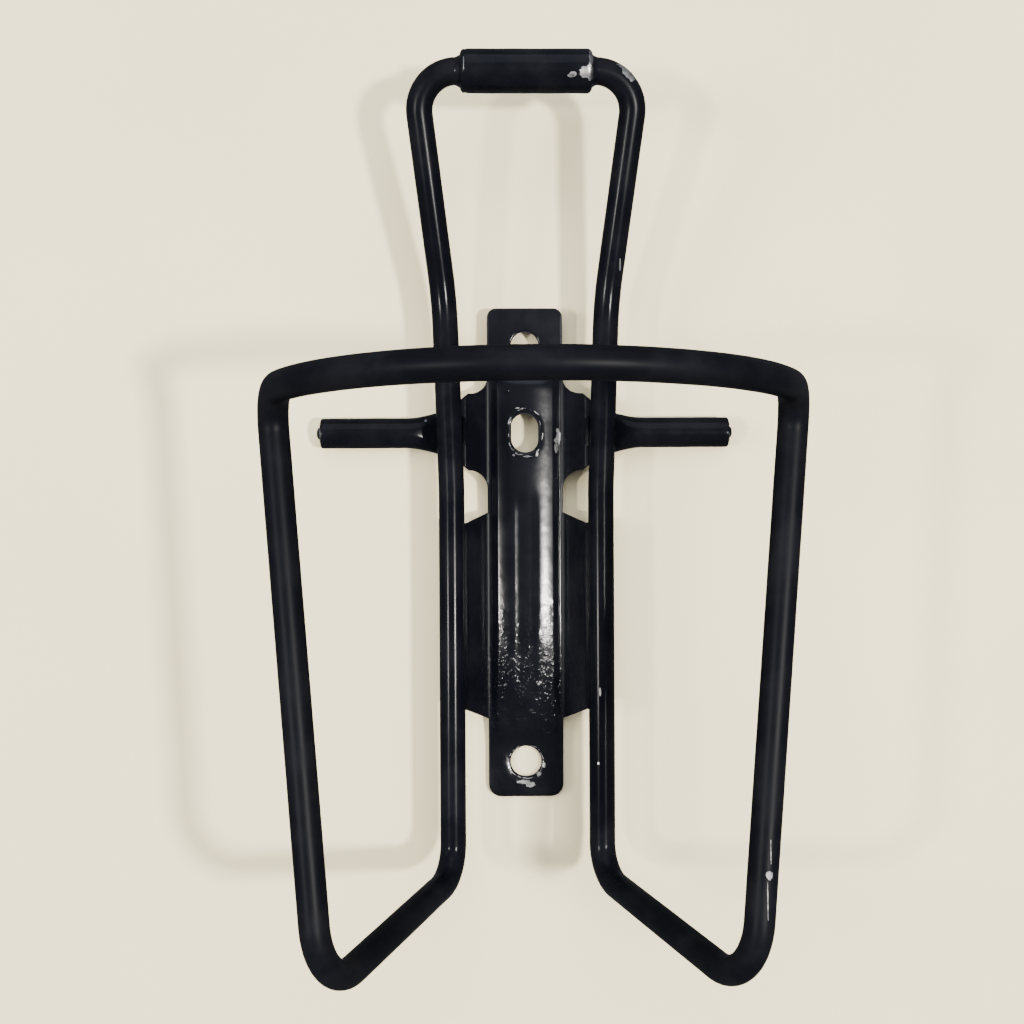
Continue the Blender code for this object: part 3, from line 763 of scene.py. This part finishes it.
def enamel(name, chip_and_glint_spots=(), rims=(), painted_glints=(), *, peel, wrinkles=0.0, shine=0.12, ragged=0.3, dull=0.0):
    """Black enamel with uneven gloss, faint orange peel, dust, flaked spots down to bare metal, and painted
    highlights drawn as bare metal.
    """
    n = Nodes(name)
    edge_noise = n.ramp(n.noise(1.1, 4.0, 0.6, seed=3.0), 0.3, 0.7, -ragged, ragged)
    dust = n.ramp(n.noise(9.0, 4.0, 0.6, seed=1.0), 0.38, 0.72)
    fine = n.noise(0.7, 3.0, 0.6, seed=2.0)
    chip_and_glint_masks = [n.spot(centre, size, edge_noise) for centre, size in chip_and_glint_spots]
    for centre_y, radius, length, inner, outer, amount in rims:
        # Rim lines: partly paint wear, partly a painted highlight of the rim.
        chip_and_glint_masks.append(n.wear_and_highlight_line(centre_y, radius, length, inner, outer, amount))
    # Streaky patches of painted highlight where the plate's flank catches a lamp, drawn in bare steel colour
    # and partly metallic.
    painted_glint = 0.0
    if painted_glints:
        glint_streaks = n.ramp(n.noise(0.5, 3.0, 0.6, stretch=(1.0, 0.2, 1.0), seed=7.0), 0.3, 0.58)
        painted_glint = n.most([n.spot(centre, size, edge_noise) for centre, size in painted_glints])
        painted_glint = n.math("MULTIPLY", painted_glint, glint_streaks)
    # Flaked paint, and the rim and tip lines of painted highlight, all drawn as bare metal.
    chips_and_glints = n.most(chip_and_glint_masks) if chip_and_glint_masks else 0.0
    paint = n.mix(n.math("MULTIPLY", dust, 0.8), ENAMEL, ENAMEL_DUSTY)
    # Bare steel colour, for flaked paint and for the painted highlights alike.
    metal = n.mix(n.ramp(n.noise(1.2, 4.0, 0.65, seed=9.0), 0.35, 0.65), BARE_DULL_AND_GLINT, BARE_AND_GLINT)
    # The paint, with the patches of painted highlight mixed in.
    paint_and_glint = n.mix(n.math("MULTIPLY", painted_glint, 0.8), paint, BARE_AND_GLINT)
    n.link(n.mix(chips_and_glints, paint_and_glint, metal), n.shader.inputs["Base Color"])
    gloss = n.ramp(dust, 0.0, 1.0, CLEAN_GLOSS, DUSTY_GLOSS)
    if dull:
        gloss = n.math("ADD", gloss, n.ramp(n.z, DULL_FROM * MM, DULL_TO * MM, 0.0, dull))
    if wrinkles:
        away = n.math("ABSOLUTE", n.math("ADD", n.math("ABSOLUTE", n.x), -WING_ROOT * MM))
        gloss = n.math("ADD", gloss, n.ramp(away, GRIME[0] * MM, GRIME[1] * MM, 0.3, 0.0))
    n.link(n.math("ADD", gloss, n.math("MULTIPLY", chips_and_glints, 0.2)), n.shader.inputs["Roughness"])
    # Metallic on flaked paint and on the painted highlights.
    bare = n.math("MAXIMUM", chips_and_glints, n.math("MULTIPLY", painted_glint, 0.7))
    n.link(bare, n.shader.inputs["Metallic"])
    n.shader.inputs["Specular IOR Level"].default_value = shine
    height = n.math("MULTIPLY", n.noise(1.8, 1.0, 0.4, seed=4.0), peel)
    height = n.math("ADD", height, n.math("MULTIPLY", fine, 0.04))
    if wrinkles:
        lower = n.along(-10.0, -30.0)
        lower = n.math("MULTIPLY", lower, n.ramp(n.math("ABSOLUTE", n.x), 6.4 * MM, 7.2 * MM, 1.0, 0.0))
        lower = n.math("MULTIPLY", lower, n.along(-46.0, -41.0, 0.35, 1.0))
        bend = n.math("MULTIPLY", n.along(-45.5, -43.0), n.along(-30.0, -24.0, 1.3, 0.0))
        lower = n.math("ADD", lower, bend)
        creases = n.math("MULTIPLY", n.ramp(n.noise(0.85, 2.0, 0.6, seed=6.0), 0.45, 0.75), lower)
        height = n.math("ADD", height, n.math("MULTIPLY", creases, wrinkles))
    height = n.math("ADD", height, n.math("MULTIPLY", chips_and_glints, -0.9))
    bump = n.tree.nodes.new("ShaderNodeBump")
    bump.inputs["Strength"].default_value = BUMP_STRENGTH
    bump.inputs["Distance"].default_value = BUMP_DISTANCE * MM
    n.link(height, bump.inputs["Height"])
    n.link(bump.outputs["Normal"], n.shader.inputs["Normal"])
    return n.material


def chip_and_glint_spot(x, y, z, across, along, deep=3.0):
    """One spot where paint has flaked to bare metal, or a spot of painted highlight: its centre on the
    surface and its half sizes, in millimetres.
    """
    return (x, y, z), (across, along, deep)


def materials():
    """One enamel for each piece, with that piece's own flaked spots and painted highlights."""
    rod_chips = [chip_and_glint_spot(17.6, 83.0, 24.2, 0.9, 0.8), chip_and_glint_spot(18.6, 81.9, 24.2, 1.0, 1.0),
                 chip_and_glint_spot(19.4, 80.6, 24.0, 1.1, 0.8), chip_and_glint_spot(36.1, -56.0, 62.0, 0.5, 0.6),
                 chip_and_glint_spot(35.8, -59.8, 62.2, 0.085, 3.4), chip_and_glint_spot(36.4, -52.2, 62.0, 0.07, 1.7),
                 chip_and_glint_spot(17.9, 47.5, 14.6, 0.16, 1.0), chip_and_glint_spot(13.9, -34.0, 13.4, 0.17, 0.8),
                 chip_and_glint_spot(13.5, -47.6, 13.4, 0.16, 0.22)]
    sleeve_chips = [chip_and_glint_spot(10.7, 80.7, 25.4, 1.1, 1.05), chip_and_glint_spot(11.5, 80.9, 25.4, 0.7, 1.5),
                    chip_and_glint_spot(11.8, 83.4, 25.6, 0.34, 1.9), chip_and_glint_spot(8.3, 80.3, 25.2, 0.7, 0.4),
                    chip_and_glint_spot(-11.45, 82.2, 25.8, 0.09, 1.3)]
    # Lines round the middle slot and the lower hole: partly paint wear, partly a painted highlight of the
    # rims.
    plate_rim_wear_and_highlight = [(SLOT_Y, SLOT_RADIUS, SLOT_LENGTH, 0.5, 0.7, 0.22),
                  (LOWER_HOLE_Y, LOWER_HOLE_RADIUS, 2.0 * LOWER_HOLE_RADIUS, 0.2, 0.4, 0.3)]
    plate_chips = [chip_and_glint_spot(-0.6, -53.3, 1.4, 1.1, 0.5), chip_and_glint_spot(0.8, -54.0, 1.4, 0.7, 0.4),
                   chip_and_glint_spot(2.5, -51.9, 1.4, 0.5, 0.45), chip_and_glint_spot(3.7, -50.1, 1.4, 0.3, 0.6),
                   chip_and_glint_spot(-2.3, 11.8, 5.6, 0.25, 0.2), chip_and_glint_spot(0.2, 11.5, 5.6, 1.2, 0.12),
                   chip_and_glint_spot(2.3, 11.9, 5.6, 0.2, 0.3), chip_and_glint_spot(-1.5, 21.0, 5.6, 0.4, 0.13),
                   chip_and_glint_spot(-3.2, 24.4, 5.6, 0.12, 0.12)]
    # Painted highlights: patches where the web's right flank catches a lamp.
    plate_painted_glints = [chip_and_glint_spot(6.5, 15.4, 5.0, 0.4, 1.5), chip_and_glint_spot(6.1, 13.6, 5.0, 0.35, 1.6)]
    rim = BAR_HALF_LENGTH - 0.82
    # The first is a painted highlight: the bright arc on the left tip's rim, drawn as bare metal. The others
    # are flaked paint.
    bar_chips_and_tip_glint = [chip_and_glint_spot(-rim, SLOT_Y, BAR_RADIUS, 0.3, 1.9, 3.8),
                 chip_and_glint_spot(rim, SLOT_Y - 0.6, BAR_RADIUS, 0.22, 1.0, 3.8),
                 chip_and_glint_spot(-19.6, SLOT_Y + 2.4, 4.8, 0.22, 0.22), chip_and_glint_spot(-34.8, SLOT_Y + 2.75, 4.4, 0.4, 0.12)]
    return {"rod": enamel("enamel_rod", rod_chips, peel=0.12, shine=0.06, dull=0.26),
            "sleeve": enamel("enamel_sleeve", sleeve_chips, peel=0.4),
            "plate": enamel("enamel_plate", plate_chips, plate_rim_wear_and_highlight, plate_painted_glints, peel=0.4, wrinkles=0.8,
                            shine=0.32, ragged=0.5),
            "bar": enamel("enamel_crossbar", bar_chips_and_tip_glint, peel=0.35),
            "seam": enamel("enamel_seam", peel=0.5)}


# ---------------------------------------------------------------- stage

def floor():
    """A plain pale floor under the cage, which its enamel doesn't mirror."""
    shape = bmesh.new()
    bmesh.ops.create_grid(shape, x_segments=1, y_segments=1, size=3.0)
    mesh = bpy.data.meshes.new("floor")
    shape.to_mesh(mesh)
    shape.free()
    n = Nodes("pale_floor")
    tone = n.ramp(n.noise(60.0, 3.0, 0.5), 0.3, 0.7)
    n.link(n.mix(tone, (0.87, 0.75, 0.45), (0.90, 0.78, 0.48)), n.shader.inputs["Base Color"])
    n.shader.inputs["Roughness"].default_value = 0.6
    mesh.materials.append(n.material)
    made = bpy.data.objects.new("floor", mesh)
    made.location.z = CAD_BOX[0][2] - 0.0002
    made.visible_glossy = False
    bpy.context.scene.collection.objects.link(made)


def area_light(name, place, size, power, colour, mirrored=True):
    """A square soft light that faces the cage, and is mirrored in its enamel or not."""
    light = bpy.data.lights.new(name, "AREA")
    light.shape = "SQUARE"
    light.size = size
    light.energy = power
    light.color = colour
    made = bpy.data.objects.new(name, light)
    made.location = place
    made.visible_glossy = mirrored
    made.rotation_euler = (Vector((0.0, 0.0, 0.03)) - Vector(place)).to_track_quat("-Z", "Y").to_euler()
    bpy.context.scene.collection.objects.link(made)


def lights():
    """Lamps above the cage's sides, a soft window beyond its top and a dim room."""
    area_light("right_lamp", (0.88, -0.21, 1.72), 0.14, 58.0, (1.0, 0.97, 0.93))
    area_light("left_lamp", (-1.36, -0.24, 1.84), 0.16, 32.0, (1.0, 0.97, 0.92))
    area_light("far_lamp", (-1.15, 0.10, 0.85), 0.30, 14.0, (1.0, 0.97, 0.92), mirrored=False)
    area_light("left_wall", (-1.15, 0.10, 0.85), 0.80, 2.0, (0.92, 0.94, 1.0))
    area_light("ceiling", (0.05, 0.28, 1.60), 1.1, 0.7, (0.72, 0.82, 1.0))
    area_light("window", (0.10, 1.30, 1.00), 1.4, 8.0, (0.80, 0.88, 1.0))
    area_light("fill", (0.0, 0.60, 1.50), 1.4, 30.0, (0.97, 0.98, 1.0), mirrored=False)
    world = bpy.data.worlds.new("room")
    world.use_nodes = True
    world.node_tree.nodes["Background"].inputs["Color"].default_value = (0.84, 0.87, 1.0, 1.0)
    world.node_tree.nodes["Background"].inputs["Strength"].default_value = 0.2
    bpy.context.scene.world = world


def camera():
    """A camera close above the cage, looking straight down on its back tubes."""
    data = bpy.data.cameras.new("camera")
    data.sensor_width = 36.0
    data.lens = 47.65
    data.clip_start = 0.01
    made = bpy.data.objects.new("camera", data)
    made.location = (-0.00756, -0.00281, 0.27232)
    made.rotation_euler = (math.radians(-0.30), math.radians(-1.05), math.radians(-0.28))
    bpy.context.scene.collection.objects.link(made)
    bpy.context.scene.camera = made


def build():
    """The stage and every piece."""
    camera()
    lights()
    floor()
    finishes = materials()
    frame_rod(finishes["rod"])
    top_sleeve(finishes["sleeve"])
    mounting_plate(finishes["plate"])
    crossbar(finishes["bar"])
    seams(finishes["seam"])


build()
